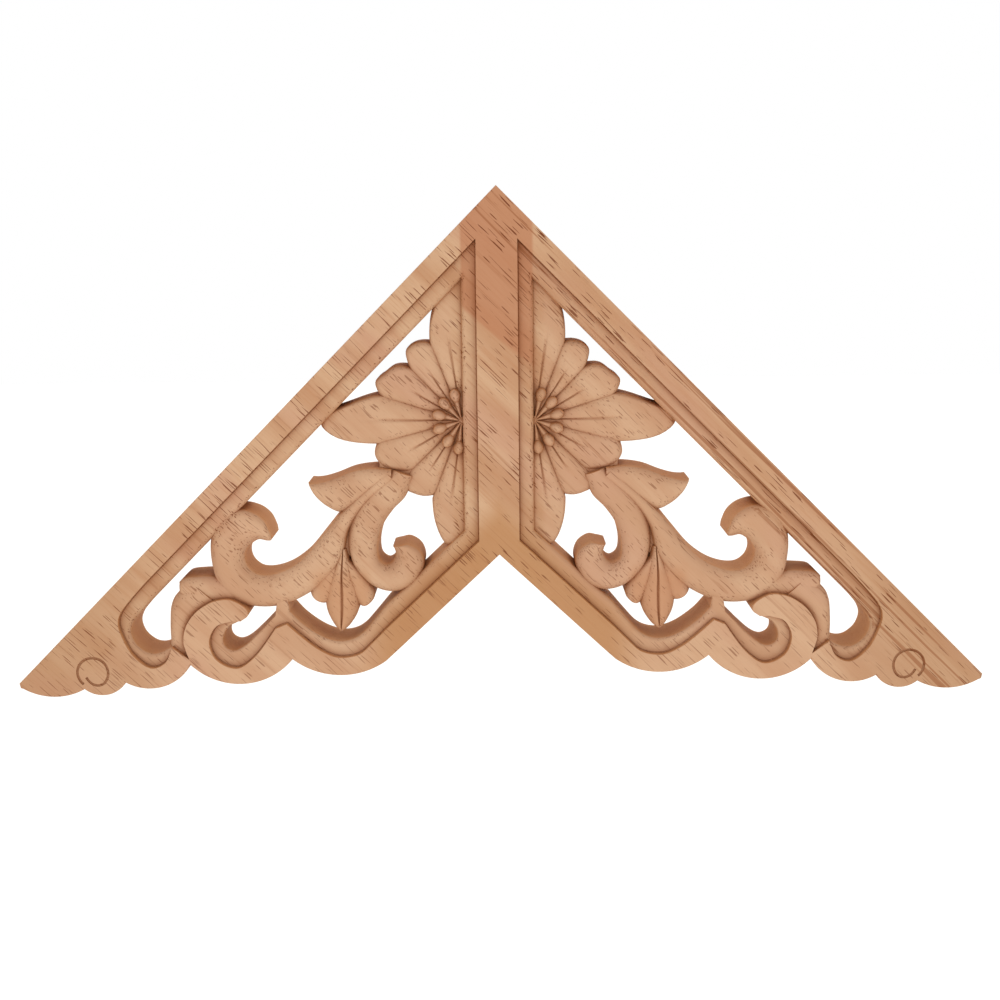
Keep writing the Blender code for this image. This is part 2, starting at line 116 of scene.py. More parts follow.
def evenly(points, spacing):
    """The same path with points at even distances, found along its running length."""
    p = np.array(points, float)
    run = np.concatenate(([0.0], np.cumsum(np.hypot(*np.diff(p, axis=0).T))))
    at = np.linspace(0.0, run[-1], max(2, round(run[-1] / spacing)) + 1)
    return np.stack([np.interp(at, run, p[:, i]) for i in (0, 1)], -1)


# %% [markdown]
# ## The flat faces of the frame
#
# The frame is one plate with a hole in each panel. Its arrises are not knife sharp: sandpaper has
# softened them, more on the scalloped lower edge than on the straight legs. A Bevel modifier could
# do that, but on a triangulated face it leaves odd corners. Here the edge is a profile carried
# along the outline instead: ring after ring of points, each a little further in and a little
# higher, following a quarter circle. Triangles fill the first ring and the last.

# %% Outlines of the frame
def outer_outline():
    """The outer outline with the radius of its arris at each point."""
    corners = [(TIP - TIP_BACK, TIP + TIP_BLUNT)]
    corners += list(zip(SCALLOP_ENDS, SCALLOP_DROPS))[::-1]
    leg = evenly(((0.0, 0.0), (TIP, TIP)), LONG_STEP)
    runs = [np.array(((-OVERLAP, OVERLAP),)), leg, np.array((corners[0],))]
    soft = [LEG_ARRIS] * 3
    for start, end, sag in zip(corners, corners[1:], SCALLOP_SAGS[::-1]):
        runs.append(arc(start, end, sag, steps=26))
        soft.append(SCALLOP_ARRIS)
    runs.append(evenly((corners[-1], (0.0, ARM_TOP)), SHORT_STEP)[1:])
    runs.append(np.array(((-OVERLAP, ARM_TOP + OVERLAP * ARM_SLOPE),)))
    soft += [ARM_ARRIS] * 2
    return np.vstack(runs), np.concatenate([np.full(len(r), s) for r, s in zip(runs, soft)])


def across_slope(width, slope):
    """How far apart in drop two parallel lines of that slope lie, when a width is between them."""
    return width * math.hypot(1.0, slope)


HOOK = ((75.6, 123.2), (73.4, 121.4), (74.4, 119.0), (78.3, 116.8), (82.0, 116.9), (85.3, 118.1),
        (89.2, 121.0), (91.8, 125.0), (92.6, 129.1), (92.0, 132.1), (91.2, 134.6))


def quirk_outline():
    """The inner edge of the flat faces: down the bar, along the arm, round the scallops and the
    hook, and back up the leg."""
    arm = ARM_TOP - across_slope(ARM_FLAT, ARM_SLOPE)
    leg = across_slope(LEG_FLAT, 1.0)
    bend = (ARM_RUN, arm + ARM_SLOPE * ARM_RUN)
    return np.vstack((
        evenly(((BAR_HALF, BAR_HALF + leg), (BAR_HALF, arm + ARM_SLOPE * BAR_HALF)), LONG_STEP),
        evenly(((BAR_HALF, arm + ARM_SLOPE * BAR_HALF), bend), SHORT_STEP)[1:-1],
        smooth((bend, (37.6, 130.4), (41.0, 133.4), (45.2, 134.5), (49.1, 134.1), (53.9, 131.5),
                (58.3, 127.9), (62.3, 124.2)), steps=6),
        smooth(((65.5, 125.5), (70.8, 132.8), (75.7, 137.0), (79.5, 137.2), (83.5, 134.6),
                (85.1, 130.4), (84.5, 127.1), (82.4, 124.4), (78.4, 123.2)), steps=6),
        smooth(HOOK, steps=6),
        smooth(((96.1, 131.0), (98.3, 135.6), (102.8, 137.1), (107.9, 132.9), (110.9, 126.3),
                (111.3, 122.8), (110.3, 120.2), (108.3, 117.5), (105.6, 114.4)), steps=8),
        evenly(((LEG_RUN, LEG_RUN + leg), (BAR_HALF, BAR_HALF + leg)), LONG_STEP)[:-1]))


def opening_outline():
    """The sawn edge of the frame inside the strip, with the radius of the strip's round. The mean
    over nearby points keeps the radius from jumping where one run meets the next."""
    arm = ARM_TOP - across_slope(ARM_WHOLE, ARM_SLOPE)
    leg = across_slope(LEG_WHOLE, 1.0)
    bar = BAR_STRIP_HALF
    bend = (ARM_RUN, arm + ARM_SLOPE * ARM_RUN)
    hook = np.array(HOOK)
    inward = np.array(HOOK_MIDDLE) - hook
    hook += HOOK_INSET * inward / np.hypot(*inward.T)[:, None]
    runs = (
        evenly(((bar, bar + leg), (bar, arm + ARM_SLOPE * bar)), LONG_STEP),
        evenly(((bar, arm + ARM_SLOPE * bar), bend), SHORT_STEP)[1:-1],
        smooth((bend, (37.2, 124.2), (41.0, 128.3), (44.7, 130.0), (48.8, 130.0), (53.3, 128.2),
                (58.2, 124.6), (61.5, 121.0)), steps=7),
        np.array(((61.9, 117.4), (65.1, 117.4), (65.8, 122.2))),
        smooth(((71.1, 127.6), (75.0, 131.1), (78.0, 132.6), (80.3, 132.0), (81.4, 130.2),
                (81.1, 127.7), (79.5, 125.4), (77.2, 124.1)), steps=6),
        smooth(hook[:-2], steps=6),
        smooth(((97.2, 131.6), (99.9, 133.0), (102.4, 133.4), (104.8, 132.6), (107.3, 130.2),
                (108.4, 126.8), (107.5, 123.8), (105.3, 121.0)), steps=7),
        evenly(((LEG_RUN, LEG_RUN + leg), (bar, bar + leg)), LONG_STEP)[:-1])
    soft = (STRIP_ROUND,) * 3 + (TONGUE_ROUND, HOOK_GAP_ROUND, HOOK_ROUND) + (STRIP_ROUND,) * 2
    soft = np.concatenate([np.full(len(r), s) for r, s in zip(runs, soft)])
    near = np.stack([np.roll(soft, k) for k in range(-4, 5)])
    return np.vstack(runs), np.minimum(soft, near.mean(0))


print("outline points:", len(outer_outline()[0]), len(quirk_outline()), len(opening_outline()[0]))


# %% Make a mesh from arrays
def new_piece(name, points, faces):
    """A mesh object from plan points (out, drop, height above the back) and faces, each with its
    outside outwards. A place is (out, -height, FLOWER_DROP - drop), in metres."""
    points = np.asarray(points, float)
    places = np.stack((points[:, 0], -points[:, 2], FLOWER_DROP - points[:, 1]), -1) * MM
    mesh = bpy.data.meshes.new(name)
    mesh.from_pydata(places.tolist(), [], [list(face) for face in faces])
    shape = bmesh.new()
    shape.from_mesh(mesh)
    bmesh.ops.recalc_face_normals(shape, faces=shape.faces)
    if shape.calc_volume(signed=True) < 0.0:
        bmesh.ops.reverse_faces(shape, faces=shape.faces)
    open_edges = sum(not edge.is_manifold for edge in shape.edges)
    shape.to_mesh(mesh)
    shape.free()
    piece = bpy.data.objects.new(name, mesh)
    bpy.context.scene.collection.objects.link(piece)
    print("%-16s %6d faces, %d open edges" % (name, len(mesh.polygons), open_edges))
    return piece


def drawn_in(loop, distance):
    """The closed loop moved to its left by a distance at each point. The point moves along the
    mean of its two edge normals, and by more where the loop turns, so that both edges keep their
    distance: distance / cos(half the turn)."""
    edge = np.roll(loop, -1, 0) - loop
    edge /= np.hypot(*edge.T)[:, None]
    normal = np.stack((-edge[:, 1], edge[:, 0]), -1)
    mean = normal + np.roll(normal, 1, 0)
    mean /= np.hypot(*mean.T)[:, None]
    reach = np.clip((mean * normal).sum(1), 0.3, 1.0)
    return loop + mean * (distance / reach)[:, None]


def rounded_rings(loop, radius, top, behind, steps=6):
    """Rings of plan points up a wall and round its arris: at angle a of the quarter circle a ring
    lies radius (1 - cos a) in from the wall and radius (1 - sin a) below the top."""
    turns = np.linspace(0.0, math.pi / 2.0, steps + 1)
    rings = [np.column_stack((loop, np.full(len(loop), behind)))]
    rings += [np.column_stack((drawn_in(loop, radius * (1.0 - math.cos(a))),
                               top - radius * (1.0 - math.sin(a)))) for a in turns]
    return np.array(rings)


def plate(name, walls):
    """A closed plate. walls is one array of rings for the outline and one for each hole. The
    faces between rings are quads, and triangles fill the first ring and the last."""
    points, faces, count = [], [], 0
    for rings in walls:
        high, round_, _ = rings.shape
        index = count + np.arange(high * round_).reshape(high, round_)
        after = np.roll(index, -1, 1)
        quads = np.stack((index[:-1], after[:-1], after[1:], index[1:]), -1)
        faces += quads.reshape(-1, 4).tolist()
        points.append(rings.reshape(-1, 3))
        count += high * round_
    for level in (0, -1):
        loops = [[Vector(p) for p in rings[level][:, :2].tolist()] for rings in walls]
        ids, start = [], 0
        for rings in walls:
            high, round_, _ = rings.shape
            ids += (start + (level % high) * round_ + np.arange(round_)).tolist()
            start += high * round_
        faces += [[ids[i] for i in tri] for tri in tessellate_polygon(loops)]
    return new_piece(name, np.vstack(points), faces)


# %% Cut the flat faces
BODY_WASTE, STRIP_WASTE = 4.0, 1.0  # each plate starts this far behind the back, to be planed off
outline, outline_soft = outer_outline()
quirk = quirk_outline()
flats = plate("flat_faces", (
    rounded_rings(outline, outline_soft, BOARD, -BODY_WASTE),
    rounded_rings(quirk, np.full(len(quirk), QUIRK_ARRIS), BOARD, -BODY_WASTE, steps=3)))

# %% [markdown]
# ## The moulding strip
#
# Beside every opening runs a narrow strip, 2 mm lower than the flat faces. It rolls over towards
# the opening like a quarter round. It is the same kind of plate, with a much bigger radius on its
# inner arris. Round the hook, where no strip shows, the edge stays almost square.

# %% Cut the strip
STRIP_INSET, STRIP_END = 0.6, 6.0   # its plate stays inside the outer walls, and short of the tip
STRIP_ARRIS = 0.1
opening, opening_soft = opening_outline()
under = drawn_in(outline, np.full(len(outline), STRIP_INSET))
under = under[under[:, 0] < TIP - STRIP_END]
under_soft = np.full(len(under), STRIP_ARRIS)
strip = plate("moulding_strip", (
    rounded_rings(under, under_soft, BOARD - STRIP_STEP, -STRIP_WASTE, steps=1),
    rounded_rings(opening, opening_soft, BOARD - STRIP_STEP, -STRIP_WASTE, steps=7)))

# %% [markdown]
# ## Carved forms
#
# Every petal, scroll and leaf is a surface of two parameters: along runs from 0 at the root to 1
# at the tip, and across from -1 to 1 between its two edges. The plan gives the place, and a
# formula gives the height. The front surface is closed by walls and a back, which starts behind
# the board's back and is planed off at the end.

# %% Close a carved surface
FORM_WASTE, WASTE_STEP = 1.0, 0.07  # where the first form starts behind the back, and each next
waste_now = [FORM_WASTE]


def carved(name, out, drop, height):
    """A closed solid under a front surface given by three arrays of the same shape. Each form
    starts a little further behind than the last, so that no two backs fall together."""
    waste_now[0] += WASTE_STEP
    n, m = height.shape
    front = np.stack((out, drop, height), -1).reshape(-1, 3)
    back = front.copy()
    back[:, 2] = -waste_now[0]
    index = np.arange(n * m).reshape(n, m)
    quads = np.stack((index[:-1, :-1], index[1:, :-1], index[1:, 1:], index[:-1, 1:]), -1)
    quads = quads.reshape(-1, 4)
    rim = np.concatenate((index[0, :-1], index[:-1, -1], index[-1, :0:-1], index[:0:-1, 0]))
    after = np.roll(rim, -1)
    walls = np.stack((rim, after, after + n * m, rim + n * m), -1)
    faces = np.concatenate((quads, quads[:, ::-1] + n * m, walls))
    return new_piece(name, np.vstack((front, back)), faces.tolist())


def rise(x, start, end):
    """A smooth step from 0 at start to 1 at end: 3 t^2 - 2 t^3."""
    t = np.clip((x - start) / (end - start), 0.0, 1.0)
    return t * t * (3.0 - 2.0 * t)


def spaced(count, vein=False):
    """Positions across a form, closer together at its edges and, where it has a vein, there."""
    across = np.sin(np.linspace(-math.pi / 2.0, math.pi / 2.0, count))
    if vein:
        across = np.concatenate((across, (-0.12, -0.08, -0.04, 0.04, 0.08, 0.12)))
    return np.unique(np.round(across, 5))


# %% [markdown]
# ## The half flowers
#
# Seven petals fan out from a point on the strip beside the bar, and six stamens lie over their
# roots. A petal is a polar patch: each direction has its own rim distance. Its surface rises
# between the creases at its sides, has a soft, shallow vein down the middle, dips at its root to
# leave room for the stamens, and rolls over at the rim. The rolled rim is why the photograph
# shows dark bands along the upper rims.

# %% Carve the petals
PETAL_HEIGHT = 12.6       # height above the back that petals and stamens are measured from
CREASE_SINK, PETAL_RIDGE = 1.2, 1.3     # the creases lie lower, and the ridges rise from them
PETAL_VEIN, VEIN_WIDTH = 0.5, 0.075     # depth, and width as a share of half the petal's
ROLL_DEPTH, ROLL_WIDTH = 2.3, 2.0       # the rolled rim
ROOT_DIP, PETAL_FALL = 1.1, 0.8         # how far the root dips, and the petal sinks to its rim
PETALS = (                # start and end direction in degrees, rim distance at five even steps
    (-95.0, -68.6, (37.0, 37.4, 36.8, 31.7, 24.8)),
    (-69.4, -43.5, (23.5, 24.9, 25.7, 25.8, 22.0)),
    (-44.5, -13.7, (21.6, 24.2, 26.6, 27.2, 25.4)),
    (-15.3, 18.1, (25.5, 37.2, 40.6, 32.0, 24.8)),
    (17.1, 47.0, (24.6, 27.1, 25.9, 24.6, 21.3)),
    (45.8, 69.4, (21.4, 25.4, 25.9, 25.2, 23.9)),
    (68.4, 95.0, (24.4, 32.0, 38.0, 42.0, 42.0)),
)


def petal(number, start, end, rims):
    """Height = base + ridge on each side of the vein - vein - roll at the rim - dip at the root."""
    across = spaced(29, vein=True)
    rim_line = smooth(np.column_stack((np.linspace(-1.0, 1.0, len(rims)), rims)), steps=12)
    rim = np.interp(across, rim_line[:, 0], rim_line[:, 1])
    angle = np.radians(np.interp(across, (-1.0, 1.0), (start, end)))
    along = np.concatenate((np.linspace(0.02, 0.82, 26)[:-1], np.linspace(0.82, 1.0, 16)))[:, None]
    out = FLOWER_OUT + along * rim * np.cos(angle)
    drop = FLOWER_DROP - along * rim * np.sin(angle)
    inside = (1.0 - along) * rim                       # distance from the rim
    ridge = PETAL_RIDGE * (1.0 - np.abs(across) ** 3.0) ** 0.75 * rise(along, -0.2, 0.5)
    vein = PETAL_VEIN * np.exp(-(across / VEIN_WIDTH) ** 2) * (1.0 - rise(along, 0.5, 0.75))
    over = np.clip(1.0 - inside / ROLL_WIDTH, 0.0, 1.0)
    roll = ROLL_DEPTH * (1.0 - np.sqrt(1.0 - over ** 2))
    root = ROOT_DIP * (1.0 - rise(along * rim, 7.5, 13.0))
    height = PETAL_HEIGHT - CREASE_SINK + ridge - vein - roll - root - PETAL_FALL * along ** 2
    return carved("petal_%d" % number, out, drop, height)


forms = [petal(i, *sizes) for i, sizes in enumerate(PETALS, 1)]

# %% Carve the stamens
STAMENS = (               # direction in degrees and reach from the flower's centre
    (-83.0, 8.2), (-55.0, 7.4), (-19.0, 7.1), (15.0, 7.1), (46.0, 7.4), (76.0, 8.0))
BEAD, BEAD_LENGTH = 1.65, 1.9       # half the width and half the length of a bead
BEAD_BACK = 0.4           # the bead's middle lies this far short of the reach
STALK_ROOT, STALK_SPREAD = 0.3, 1.1     # half a stalk's width at the centre, and what it gains
STAMEN_SINK, STALK_CROWN, BEAD_CROWN = 2.0, 1.6, 2.0    # heights, from PETAL_HEIGHT down and up


def stamen(number, direction, reach):
    """A stalk that widens outwards and ends in a long bead. At a distance s from the flower's
    centre the half width is the larger of the stalk's, which grows with s, and the bead's,
    BEAD sqrt(1 - ((s - middle) / BEAD_LENGTH)^2)."""
    angle = math.radians(direction)
    run = np.array((math.cos(angle), -math.sin(angle)))
    side = np.array((run[1], -run[0]))
    middle = reach - BEAD_BACK
    on_stalk = np.linspace(-1.2, middle - BEAD_LENGTH, 9)[:-1]
    on_bead = middle - BEAD_LENGTH * np.cos(np.linspace(0.0, 3.0, 15))
    distance = np.concatenate((on_stalk, on_bead))[:, None]
    bead = np.sqrt(np.clip(1.0 - ((distance - middle) / BEAD_LENGTH) ** 2, 0.0, None))
    stalk = STALK_ROOT + STALK_SPREAD * np.clip(distance / reach, 0.0, 1.0) ** 1.4
    stalk *= distance < middle
    width = np.maximum(BEAD * bead, stalk)
    across = spaced(13)
    out = FLOWER_OUT + run[0] * distance + side[0] * width * across
    drop = FLOWER_DROP + run[1] * distance + side[1] * width * across
    dome = np.sqrt(1.0 - across ** 2)
    height = PETAL_HEIGHT - STAMEN_SINK + STALK_CROWN * dome + BEAD_CROWN * dome * bead
    return carved("stamen_%d" % number, out, drop, height)


forms += [stamen(i, *sizes) for i, sizes in enumerate(STAMENS, 1)]

# %% [markdown]
# ## Scrolls, leaves and the bud
#
# These forms bend freely, so each is ruled between two smooth edges: the point at across = v lies
# on the straight line between the matching points of the left edge and the right edge. The height
# is a crown, (1 - |v|^p)^q, which is flat in the middle and turns down steeply at the edges. The
# inner side of a curl sinks towards its eye, as a gouge leaves it. Two low patches of ground lie
# under the roots, where the board isn't sawn through.

# %% Stations of the scrolls and leaves
SMALL_SCROLL = (
    ((30.4, 79.6), (24.6, 81.6)), ((36.4, 83.6), (27.0, 87.4)), ((41.2, 89.7), (30.6, 91.2)),
    ((43.6, 96.7), (33.6, 95.5)), ((43.7, 103.7), (35.1, 100.2)), ((41.5, 109.7), (35.4, 103.8)),
    ((36.5, 114.3), (34.8, 106.3)), ((30.5, 115.7), (33.0, 107.6)), ((24.9, 113.7), (31.5, 107.0)),
    ((22.1, 108.3), (30.6, 105.6)), ((23.0, 103.8), (30.4, 104.4)), ((26.2, 101.4), (30.6, 103.4)),
    ((29.0, 101.7), (30.9, 102.7)), ((30.8, 102.1), (31.1, 102.3)))
LARGE_SCROLL = (
    ((29.9, 82.6), (32.9, 79.6)), ((37.9, 89.2), (40.4, 86.2)), ((43.4, 96.7), (45.9, 91.9)),
    ((45.8, 105.2), (51.3, 98.5)), ((50.3, 111.7), (56.3, 104.4)), ((56.7, 116.3), (61.4, 108.2)),
    ((63.8, 119.3), (66.3, 110.0)), ((71.2, 119.7), (70.3, 110.1)), ((78.4, 117.8), (72.8, 108.6)),
    ((82.5, 112.3), (74.1, 106.4)), ((84.0, 105.2), (74.2, 104.0)), ((83.7, 98.7), (73.3, 102.2)),
    ((81.3, 93.2), (72.2, 101.1)), ((76.3, 90.6), (70.9, 100.2)), ((71.3, 91.5), (69.8, 99.9)),
    ((68.0, 94.0), (68.8, 100.1)), ((66.4, 97.3), (67.7, 100.3)), ((66.0, 99.4), (66.7, 100.3)))
LEAF = (
    ((30.9, 79.3), (30.9, 82.1)), ((35.9, 79.0), (35.9, 85.2)), ((41.9, 79.8), (40.2, 89.1)),
    ((47.2, 81.8), (45.4, 91.8)), ((50.9, 82.9), (49.5, 90.3)), ((53.4, 83.2), (52.9, 87.2)),
    ((55.0, 83.1), (54.9, 83.6)))
GROUND_PETALS = (
    ((25.0, 78.6), (25.0, 82.0)), ((30.0, 77.4), (30.0, 81.0)), ((34.4, 76.4), (34.4, 79.4)))
GROUND_SCROLLS = (
    ((45.8, 95.0), (43.0, 95.0)), ((46.0, 100.0), (43.2, 100.0)), ((46.6, 105.0), (43.6, 105.0)))
BACK_LOBE = (
    ((77.3, 111.8), (77.9, 118.2)), ((84.0, 110.5), (84.5, 118.6)), ((88.6, 110.5), (89.0, 117.6)),
    ((92.0, 110.9), (92.2, 116.6)), ((93.8, 112.2), (93.8, 115.4)))
CRESCENT = (
    ((89.5, 112.0), (82.4, 118.7)), ((94.4, 115.4), (86.0, 120.4)), ((96.4, 119.0), (88.9, 122.7)),
    ((97.0, 124.0), (90.5, 125.6)), ((97.1, 128.6), (91.2, 129.1)), ((96.8, 132.8), (90.7, 132.5)),
    ((93.6, 137.0), (89.7, 135.1)))
BUD_MIDDLE = (
    ((46.5, 102.7), (44.5, 102.7)), ((49.2, 109.7), (42.9, 110.1)), ((51.0, 116.2), (41.2, 116.7)),
    ((50.8, 121.0), (41.7, 121.5)), ((49.0, 125.1), (44.1, 125.5)), ((47.0, 127.5), (46.4, 127.5)))
BUD_OUTER = (
    ((46.3, 104.7), (45.3, 105.7)), ((51.8, 108.7), (46.8, 111.7)), ((55.3, 113.2), (48.3, 117.2)),
    ((55.4, 116.3), (51.0, 119.0)), ((54.0, 118.0), (53.4, 118.3)))
BUD_INNER = (
    ((45.4, 104.7), (44.9, 105.7)), ((40.4, 109.2), (44.8, 111.7)), ((37.3, 113.7), (43.3, 116.7)),
    ((36.9, 117.5), (41.0, 119.9)), ((38.5, 119.5), (39.0, 119.9)))
print("stations:", sum(map(len, (SMALL_SCROLL, LARGE_SCROLL, LEAF, GROUND_PETALS, GROUND_SCROLLS,
                                 BACK_LOBE, CRESCENT, BUD_MIDDLE, BUD_OUTER, BUD_INNER))))

# %% Carve the scrolls, leaves and bud
CROWN_POWER, CROWN_ROOT = 2.4, 0.6  # p and q of the crown
GROOVE_WIDTH = 0.07       # of a vein, as a share of half the form's width


def ruled(name, stations, top, edge, vein=0.0, hollow=0.0, root=0.0):
    """Height = edge + (top - edge) * crown across * fall at the tip - vein - hollow - root dip."""
    both = smooth(np.array(stations).reshape(len(stations), 4), steps=8)
    left, right = both[:, None, :2], both[:, None, 2:]
    across = spaced(21, vein > 0.0)[None, :]
    share = np.linspace(0.0, 1.0, len(both))[:, None]
    plan = left + (right - left) * ((across + 1.0) / 2.0)[..., None]
    crown = (1.0 - np.abs(across) ** CROWN_POWER) ** CROWN_ROOT
    tip = np.clip(1.0 - share ** 8.0, 0.0, 1.0) ** 0.5
    groove = vein * np.exp(-(across / GROOVE_WIDTH) ** 2) * rise(1.0 - share, 0.0, 0.25)
    sink = hollow * ((1.0 + across) / 2.0) ** 2 * rise(share, 0.25, 0.6)
    dip = root * (1.0 - rise(share, 0.0, 0.35))
    height = edge + (top - edge) * crown * tip - groove - sink - dip
    return carved(name, plan[..., 0], plan[..., 1], height)


forms += [
    ruled("leaf", LEAF, 14.2, 11.4, root=0.5),
    ruled("large_scroll", LARGE_SCROLL, 15.0, 11.8, hollow=1.4, root=1.0),
    ruled("small_scroll", SMALL_SCROLL, 14.6, 11.4, hollow=1.4, root=0.8),
    ruled("bud_outer_lobe", BUD_OUTER, 13.4, 10.8, root=1.0),
    ruled("bud_inner_lobe", BUD_INNER, 13.6, 10.6, root=1.0),
    ruled("bud_middle_lobe", BUD_MIDDLE, 14.4, 11.4, vein=0.8, root=1.2),
    ruled("back_lobe", BACK_LOBE, 14.2, 11.6),
    ruled("crescent", CRESCENT, 14.6, 11.6),
    ruled("ground_under_petals", GROUND_PETALS, 10.9, 10.4),
    ruled("ground_under_scrolls", GROUND_SCROLLS, 11.2, 10.6)]

# %% [markdown]
# ## Tool lines
#
# A V-tool has cut thin lines: along the foot of the flat faces, where the strip starts, and round
# the little volute near each tip. Each is a thin tube along a path, taken away from the wood. The
# tube is a circle carried along the path: at every point the circle's two axes are the path's
# normal in the plan and the upward direction.

# %% Make the cutters
QUIRK_OUTSIDE, QUIRK_RADIUS = 0.15, 0.18        # the line's middle lies outside the strip's foot
VOLUTE_OUT, VOLUTE_DROP, VOLUTE_RADIUS = 119.6, 138.3, 4.5
VOLUTE_START, VOLUTE_TURN = -50.0, 375.0        # its first direction and its whole turn, in degrees
CURL_START, VOLUTE_CURL = 0.72, 0.45            # the share of the way where it curls in, and how far
GROOVE_RADIUS, GROOVE_SINK = 0.45, 0.15


def tube(name, path, radius, height, closed):
    """A closed tube round a plan path: point + radius (cos a * normal, sin a * up)."""
    path = np.array(path, float)
    if closed:
        run = np.roll(path, -1, 0) - np.roll(path, 1, 0)
    else:
        run = np.gradient(path, axis=0)
    run /= np.hypot(*run.T)[:, None]
    normal = np.stack((-run[:, 1], run[:, 0]), -1)
    turn = np.linspace(0.0, 2.0 * math.pi, 9)[:-1]
    rings = np.empty((len(path), len(turn), 3))
    rings[..., :2] = path[:, None] + (radius * np.cos(turn))[:, None] * normal[:, None]
    rings[..., 2] = height + radius * np.sin(turn)
    n, m, _ = rings.shape
    index = np.arange(n * m).reshape(n, m)
    nearby = index if closed else index[:-1]
    further = np.roll(index, -1, 0) if closed else index[1:]
    quads = np.stack((nearby, np.roll(nearby, -1, 1), np.roll(further, -1, 1), further), -1)
    faces = quads.reshape(-1, 4).tolist()
    if not closed:
        faces += [index[0, ::-1].tolist(), index[-1].tolist()]
    return new_piece(name, rings.reshape(-1, 3), faces)


quirk_path = drawn_in(quirk, np.full(len(quirk), -QUIRK_OUTSIDE))
quirk_cut = tube("quirk_line", quirk_path, QUIRK_RADIUS, BOARD - STRIP_STEP, closed=True)
way = np.linspace(0.0, 1.0, 70)
turn = np.radians(VOLUTE_START + VOLUTE_TURN * way)
ring = VOLUTE_RADIUS * (1.0 - VOLUTE_CURL * rise(way, CURL_START, 1.0))
volute = np.stack((VOLUTE_OUT + ring * np.cos(turn), VOLUTE_DROP - ring * np.sin(turn)), -1)
volute_cut = tube("volute_line", volute, GROOVE_RADIUS, BOARD - GROOVE_SINK, closed=False)

# %% [markdown]
# ## Join everything into one piece of wood
#
# The forms overlap, so a union joins them into one skin without hidden faces. The manifold solver
# is used because all the solids are closed and the joins are many. A block behind the back plane
# planes the back flat, and the Mirror modifier cuts at the middle line and makes the other half.

# %% Join, plane and mirror
BLOCK_LOW, BLOCK_HIGH = (-20.0, -20.0, -30.0), (200.0, 200.0, 0.0)
MERGE = 1e-6              # in metres


def block(name, low, high):
    """A closed box between two plan corners with heights."""
    corner = np.array(np.meshgrid(*zip(low, high), indexing="ij")).reshape(3, -1).T
    faces = ((0, 1, 3, 2), (4, 6, 7, 5), (0, 4, 5, 1), (2, 3, 7, 6), (0, 2, 6, 4), (1, 5, 7, 3))
    return new_piece(name, corner, faces)


def boolean(piece, tool, operation):
    """A Boolean modifier, which joins a tool to a piece or cuts it away."""
    modifier = piece.modifiers.new(tool.name, "BOOLEAN")
    modifier.operation = operation
    modifier.solver = "MANIFOLD"
    modifier.object = tool


back_block = block("back_block", BLOCK_LOW, BLOCK_HIGH)
boolean(flats, strip, "UNION")
boolean(flats, quirk_cut, "DIFFERENCE")
for form in forms:
    boolean(flats, form, "UNION")
boolean(flats, volute_cut, "DIFFERENCE")
boolean(flats, back_block, "DIFFERENCE")
mirror = flats.modifiers.new("other_half", "MIRROR")
mirror.use_axis = (True, False, False)
mirror.use_bisect_axis = (True, False, False)
mirror.merge_threshold = MERGE
bpy.context.view_layer.update()
whole = flats.evaluated_get(bpy.context.evaluated_depsgraph_get())
carving = bpy.data.meshes.new_from_object(whole)
for tool in [flats, strip, quirk_cut, volute_cut, back_block] + forms:
    bpy.data.objects.remove(tool)

# %% Measure the result
SHARP_ANGLE = math.radians(32.0)    # edges that turn by more than this stay sharp
shape = bmesh.new()
shape.from_mesh(carving)
open_edges = sum(not edge.is_manifold for edge in shape.edges)
print("carved wood: %d triangles, %d open edges, %.1f cm3" % (
    len(shape.calc_loop_triangles()), open_edges, shape.calc_volume(signed=True) * 1e6))
shape.free()
carving.name = "carved_wood"
applique = bpy.data.objects.new("carved_wood", carving)
bpy.context.scene.collection.objects.link(applique)
carving.shade_smooth()
carving.set_sharp_from_angle(angle=SHARP_ANGLE)

# %% [markdown]
# ## Bare wood
#
# The real piece is a pale, open-pored hardwood without stain or varnish. Its grain runs straight
# through the whole carving at 45 degrees, down to the right. So the pattern is solid: it is worked
# out from the place in the wood (Object coordinates), turned so that one axis follows the grain.
# Stretched noise gives soft bands and fibres, and sharper stretched noise gives the pores, which
# are short dark dashes.

# %% Helpers for shader maths
class Value:
    """A shader socket that takes part in Python sums. Each operator adds one Math node."""

    def __init__(self, nodes, socket):
        self.nodes = nodes
        self.socket = socket

    def math(self, operation, other, swapped=False):
        pair = (other, self) if swapped else (self, other)
        return self.nodes.add("ShaderNodeMath", {"operation": operation}, pair)

    def __add__(self, other):
        return self.math("ADD", other)

    def __radd__(self, other):
        return self.math("ADD", other, True)

    def __sub__(self, other):
        return self.math("SUBTRACT", other)

    def __rsub__(self, other):
        return self.math("SUBTRACT", other, True)

    def __mul__(self, other):
        return self.math("MULTIPLY", other)

    def __rmul__(self, other):
        return self.math("MULTIPLY", other, True)


